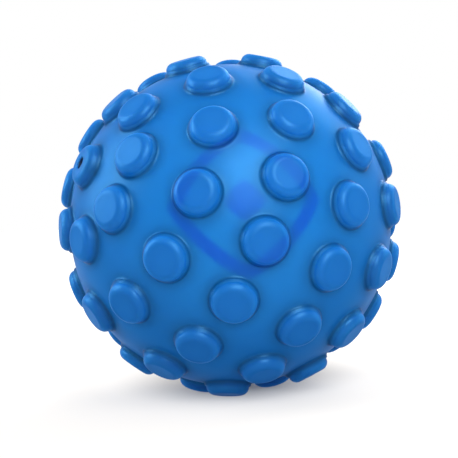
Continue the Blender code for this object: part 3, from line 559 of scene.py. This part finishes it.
def elastomer():
    """Satin blue elastomer: paler on the nubs, with a painted highlight on their rounded edges, painted
    shade round their feet, and faintly see-through.
    """
    m = material("blue_elastomer")
    grain = m.bump(m.noise(3200.0, 3.0), 0.00002, 0.35)
    height = m.length(m.place)
    crease = m.add("ShaderNodeAttribute", attribute_name="crease").outputs["Fac"]

    def rise(low, high, to_low=0.0, to_high=1.0):
        return m.ramp(height, low * MM, high * MM, to_low, to_high)

    def band(start, full, fade, end):
        """How much a place lies in a band of distances from the ball's centre."""
        return m.math("MULTIPLY", rise(start, full), rise(fade, end, 1.0, 0.0))

    tone = m.blend(m.noise(38.0), *ELASTOMER_TONES)
    tone = m.blend(rise(*TOP_BAND), tone, NUB_TONE)
    # painted highlight on the nubs' rounded edges
    tone = m.blend(band(*EDGE_BAND), tone, EDGE_HIGHLIGHT_TONE)
    # painted shade round each nub's foot, on the body near it and in its fillet
    tone = m.blend(m.math("MULTIPLY", crease, CREASE_SHADE_SHARE), tone, FOOT_SHADE_TONE)
    tone = m.blend(band(*FOOT_BAND), tone, FOOT_SHADE_TONE)
    body = m.add(
        "ShaderNodeBsdfPrincipled",
        {
            "Base Color": tone,
            "Roughness": 0.5,
            "Specular IOR Level": 0.0,
            "Normal": grain,
            "Subsurface Weight": 0.25,
            "Subsurface Radius": (0.15, 0.5, 1.0),
            "Subsurface Scale": 0.0007,
        },
    )
    facing = m.add("ShaderNodeLayerWeight", {"Blend": 0.35}).outputs["Facing"]
    gloss = m.add(
        "ShaderNodeBsdfGlossy",
        {
            "Color": m.blend(m.ramp(facing, 0.3, 0.95), GLOSS_TINT, RIM_TINT),
            "Roughness": m.ramp(m.noise(90.0), 0.3, 0.7, 0.35, 0.41),
            "Normal": grain,
        },
    )
    through = m.add(
        "ShaderNodeBsdfRefraction",
        {
            "Color": m.blend(rise(*THICK_BAND), THIN_TINT, THICK_TINT),
            "Roughness": 0.10,
            "IOR": 1.12,
            "Normal": grain,
        },
    )
    # painted shade: less of the shell's light shows through round the nubs' feet
    cover_share = m.math("SUBTRACT", 1.0, m.math("MULTIPLY", crease, CREASE_COVER_SHARE))
    thin = m.ramp(facing, 0.0, 1.0, THROUGH_FACE_ON, THROUGH_EDGE_ON)
    share = m.math("MULTIPLY", thin, cover_share)
    shine = m.ramp(facing, 0.3, 1.0, SHINE_FACE_ON, SHINE_EDGE_ON)
    return m.finish(m.mix(shine, m.mix(share, body, through), gloss))


def lining():
    """The inside of the cover, which lies close to the ball."""
    m = material("cover_lining")
    tone = m.blend(m.noise(60.0), rgb(0.01, 0.2, 0.66), rgb(0.015, 0.24, 0.72))
    body = m.add("ShaderNodeBsdfPrincipled", {"Base Color": tone, "Roughness": 0.5})
    through = m.add("ShaderNodeBsdfTransparent", {"Color": rgb(0.9, 0.97, 1.0)})
    return m.finish(m.mix(LINING_THROUGH, body, through))


def mark_masks(m):
    """How much of the mark's stroke, and of the painted glow round it, is at a place on the shell."""
    up = Vector((0, 0, 1))
    right = up.cross(-MARK_DIRECTION).normalized()
    up = right.cross(MARK_DIRECTION)
    if up.z < 0:
        up.negate()

    def along(direction):
        made = m.add("ShaderNodeVectorMath", {0: m.place, 1: direction}, operation="DOT_PRODUCT")
        return made.outputs["Value"]

    def share(direction):
        size = m.math("ABSOLUTE", m.math("DIVIDE", along(direction), MARK_SIZE * MM))
        return m.math("POWER", size, MARK_CORNERS)

    reach = m.math("POWER", m.math("ADD", share(right), share(up)), 1 / MARK_CORNERS)
    offset = m.math("ABSOLUTE", m.math("SUBTRACT", reach, 1.0))
    half, blur = MARK_STROKE / 2 / MARK_SIZE, MARK_BLUR / MARK_SIZE
    stroke = m.ramp(offset, half - blur / 2, half + blur / 2, 1.0, 0.0)
    dot = m.ramp(reach, MARK_DOT - blur / 2, MARK_DOT + blur / 2, 1.0, 0.0)
    print_share = m.math("MAXIMUM", stroke, dot)
    front = m.ramp(along(MARK_DIRECTION), 0.0, MARK_FADE * MM)
    glow = m.ramp(along(MARK_DIRECTION), GLOW_START * SHELL_RADIUS * MM, SHELL_RADIUS * MM)
    return m.math("MULTIPLY", print_share, front), glow


def printed_shell():
    """Gloss polycarbonate with the printed mark, and a front that is painted lighter and glows, as painted
    light.
    """
    m = material("pale_shell")
    stroke, glow = mark_masks(m)
    # painted light: the front is lighter and emits, though the shell is no lamp
    color = m.blend(stroke, m.blend(glow, *SHELL_TONES), MARK_TONE)
    light = m.blend(stroke, m.blend(glow, *SHELL_PAINTED_GLOWS), MARK_PAINTED_GLOW)
    body = m.add(
        "ShaderNodeBsdfPrincipled",
        {
            "Base Color": color,
            "Roughness": m.ramp(m.noise(400.0), 0.3, 0.7, 0.28, 0.36),
            "Emission Color": light,
            "Emission Strength": 1.0,
        },
    )
    return m.finish(body)


def plain(name, low, high, roughness, metallic=0.0, scale=300.0, grain=0.00003):
    """A moulded or machined surface: two close tones, a little grain and uneven gloss."""
    m = material(name)
    noise = m.noise(scale, 4.0)
    body = m.add(
        "ShaderNodeBsdfPrincipled",
        {
            "Base Color": m.blend(noise, rgb(*low), rgb(*high)),
            "Roughness": m.ramp(m.noise(scale * 0.4), 0.3, 0.7, roughness - 0.06, roughness + 0.06),
            "Metallic": metallic,
            "Normal": m.bump(m.noise(scale * 6, 3.0), grain, 0.5),
        },
    )
    return m.finish(body)


def brushed(name, low, high, roughness):
    """Turned metal with fine lines round its length."""
    m = material(name)
    stretch = m.add("ShaderNodeMapping", {"Vector": m.place, "Scale": (9000.0, 600.0, 600.0)}).outputs[0]
    lines = m.add("ShaderNodeTexNoise", {"Vector": stretch, "Scale": 1.0, "Detail": 3.0}).outputs["Fac"]
    body = m.add(
        "ShaderNodeBsdfPrincipled",
        {
            "Base Color": m.blend(lines, rgb(*low), rgb(*high)),
            "Roughness": m.ramp(lines, 0.3, 0.7, roughness - 0.08, roughness + 0.08),
            "Metallic": 1.0,
            "Normal": m.bump(lines, 0.00001, 0.5),
        },
    )
    return m.finish(body)


def banded(name, low, high, axis, pitch, roughness, metallic=0.0):
    """Fine regular bands: a coil's turns or a tyre's tread."""
    m = material(name)
    scale = 1 / (pitch * MM * WAVES_PER_METRE)
    inputs = {"Vector": m.place, "Scale": scale, "Distortion": 0.4, "Detail": 1.0}
    kind = "RINGS" if axis == "rings" else "BANDS"
    wave = m.add("ShaderNodeTexWave", inputs, wave_type=kind)
    if axis == "rings":
        wave.rings_direction = "Z"
    else:
        wave.bands_direction = axis
    lines = wave.outputs["Fac"]
    body = m.add(
        "ShaderNodeBsdfPrincipled",
        {
            "Base Color": m.blend(lines, rgb(*low), rgb(*high)),
            "Roughness": roughness,
            "Metallic": metallic,
            "Normal": m.bump(lines, 0.00008, 0.6),
        },
    )
    return m.finish(body)


def board_resin():
    """Green solder resist over copper traces, which stand out as paler, hardly raised lines."""
    m = material("circuit_board")
    inputs = {
        "Vector": m.place,
        "Scale": 1.0,
        "Brick Width": TRACE_LENGTH * MM,
        "Row Height": TRACE_PITCH * MM,
        "Mortar Size": TRACE_WIDTH * MM,
        "Mortar Smooth": 0.1,
        "Color1": rgb(0.0, 0.0, 0.0),
        "Color2": rgb(0.0, 0.0, 0.0),
        "Mortar": rgb(1.0, 1.0, 1.0),
    }
    traces = m.add("ShaderNodeTexBrick", inputs).outputs["Fac"]
    green = m.blend(m.noise(250.0), rgb(0.006, 0.095, 0.036), rgb(0.010, 0.125, 0.048))
    body = m.add(
        "ShaderNodeBsdfPrincipled",
        {
            "Base Color": m.blend(m.math("MULTIPLY", traces, TRACE_SHARE), green, rgb(0.035, 0.26, 0.11)),
            "Roughness": m.ramp(m.noise(120.0), 0.3, 0.7, 0.26, 0.34),
            "Coat Weight": 0.3,
            "Normal": m.bump(traces, 0.00002, 0.5),
        },
    )
    return m.finish(body)


def lamp_resin():
    """Clear resin over a pale chip, which glows a little."""
    m = material("lamp_resin")
    core = m.ramp(m.noise(500.0), 0.3, 0.7, 0.4, 1.0)
    body = m.add(
        "ShaderNodeBsdfPrincipled",
        {
            "Base Color": m.blend(core, rgb(0.75, 0.72, 0.5), rgb(0.95, 0.94, 0.88)),
            "Roughness": 0.18,
            "Coat Weight": 0.5,
            "Emission Color": rgb(0.6, 0.8, 1.0),
            "Emission Strength": 0.4,
        },
    )
    return m.finish(body)


def slot_surfaces():
    """The material of each slot in the record that shows as a CAD node."""
    foil = ((0.44, 0.46, 0.50), (0.58, 0.60, 0.63))
    copper = ((0.36, 0.12, 0.05), (0.78, 0.40, 0.22))
    return {
        "dark_plastic": plain("dark_plastic", (0.030, 0.031, 0.035), (0.050, 0.052, 0.058), 0.48),
        "white_acetal": plain("white_acetal", (0.74, 0.74, 0.71), (0.82, 0.82, 0.80), 0.34),
        "gear_acetal": plain("gear_acetal", (0.62, 0.61, 0.55), (0.72, 0.71, 0.65), 0.36),
        "black_tyre": banded("black_tyre", (0.012, 0.012, 0.012), (0.030, 0.030, 0.030), "X", 0.8, 0.78),
        "steel": brushed("steel", (0.52, 0.53, 0.55), (0.68, 0.69, 0.71), 0.30),
        "brass": brushed("brass", (0.66, 0.50, 0.22), (0.80, 0.64, 0.32), 0.32),
        "copper_coil": banded("copper_coil", *copper, "rings", 0.4, 0.35, metallic=1.0),
        "ferrite": plain("ferrite", (0.05, 0.05, 0.055), (0.09, 0.09, 0.095), 0.62, scale=700.0),
        "battery_foil": plain("battery_foil", *foil, 0.34, metallic=0.85, scale=150.0, grain=0.00008),
        "circuit_board": board_resin(),
        "chip_resin": plain("chip_resin", (0.018, 0.018, 0.020), (0.034, 0.034, 0.036), 0.52, scale=900.0),
        "lamp_resin": lamp_resin(),
    }


def paint_nodes(surfaces):
    """Each CAD node that shows gets the material of its slot in the record."""
    for part in frame["record"]["subparts"]:
        node = frame["nodes"][part["node"]]
        if part["material_slot"] in surfaces:
            node.data.materials.clear()
            node.data.materials.append(surfaces[part["material_slot"]])


# Stage


def build_floor():
    """A pale floor that glows for the camera and takes the ball's real shadow in its matt part; under and
    behind the ball its glow is turned down as painted shade.
    """
    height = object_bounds()[0].z
    corners = [(x, y, height) for x, y in ((-1, -1), (1, -1), (1, 1), (-1, 1))]
    mesh = bpy.data.meshes.new("floor")
    mesh.from_pydata([(x * FLOOR_SIZE, y * FLOOR_SIZE, z) for x, y, z in corners], [], [(0, 1, 2, 3)])
    m = material("pale_floor")
    white = m.blend(m.noise(8.0), rgb(0.86, 0.81, 0.75), rgb(0.88, 0.83, 0.77))
    matt = m.add("ShaderNodeBsdfDiffuse", {"Color": white})
    # painted shade: the floor's glow is turned down round a point behind the ball
    shade = {"Vector": m.place, "Location": (0, -SHADE_BEHIND, -height), "Scale": (SHADE_NARROWING, 1, 1)}
    aside = m.length(m.add("ShaderNodeMapping", shade).outputs[0])
    unshaded = m.ramp(aside, SHADE_CORE[0], SHADE_EDGE[0], SHADE_CORE[1], SHADE_EDGE[1])
    glow = m.ramp(m.length(m.place), GLOW_NEAR[0], GLOW_FAR[0], GLOW_NEAR[1], GLOW_FAR[1])
    seen = m.add("ShaderNodeLightPath").outputs["Is Camera Ray"]
    strength = m.ramp(seen, 0.0, 1.0, FLOOR_BOUNCE, m.math("MULTIPLY", unshaded, glow))
    lit = m.add("ShaderNodeEmission", {"Color": rgb(1.0, 1.0, 1.0), "Strength": strength})
    mesh.materials.append(m.finish(m.mix(FLOOR_GLOW_SHARE, matt, lit)))
    floor = bpy.data.objects.new("floor", mesh)
    bpy.context.scene.collection.objects.link(floor)


def build_room():
    """A white room, brighter overhead, and plain white to the camera."""
    world = bpy.data.worlds.new("white_room")
    m = Nodes(world, "ShaderNodeOutputWorld")
    direction = m.add("ShaderNodeTexCoord").outputs["Generated"]
    up = m.add("ShaderNodeSeparateXYZ", {0: direction}).outputs["Z"]
    room = m.ramp(up, 0.0, OVERHEAD_FROM, ROOM_AT_HORIZON, ROOM_OVERHEAD)
    seen = m.add("ShaderNodeLightPath").outputs["Is Camera Ray"]
    strength = m.ramp(seen, 0.0, 1.0, room, 1.0)
    m.finish(m.add("ShaderNodeBackground", {"Color": rgb(1.0, 1.0, 1.0), "Strength": strength}))
    bpy.context.scene.world = world


def build_softboxes():
    for name, place, size, power in SOFTBOXES:
        light = bpy.data.lights.new(name, "AREA")
        light.shape = "RECTANGLE"
        light.size, light.size_y = size
        light.energy = power
        lamp = bpy.data.objects.new(name, light)
        lamp.location = place
        lamp.rotation_euler = (-Vector(place)).to_track_quat("-Z", "Y").to_euler()
        bpy.context.scene.collection.objects.link(lamp)


def build_camera():
    camera = bpy.data.objects.new("camera", bpy.data.cameras.new("camera"))
    back = CAMERA_RIGHT.cross(CAMERA_UP).normalized()
    camera.matrix_world = Matrix.Translation(back * CAMERA_DISTANCE) @ (
        Matrix((CAMERA_RIGHT, CAMERA_UP, back)).transposed().to_4x4()
    )
    camera.data.lens = CAMERA_LENS
    camera.data.shift_x, camera.data.shift_y = CAMERA_SHIFT
    camera.data.clip_start = 0.01
    bpy.context.scene.collection.objects.link(camera)
    bpy.context.scene.camera = camera


bpy.context.scene.view_settings.view_transform = "Standard"
build_camera()
# the vent's bore wall is the elastomer painted dark, as painted shade in the hole
build_cover(elastomer(), lining(), plain("painted_bore_shade", (0.001, 0.03, 0.11), (0.002, 0.04, 0.14), 0.5))
build_shells(printed_shell())
slots = slot_surfaces()
build_spring(slots["steel"])
paint_nodes(slots)
build_floor()
build_room()
build_softboxes()
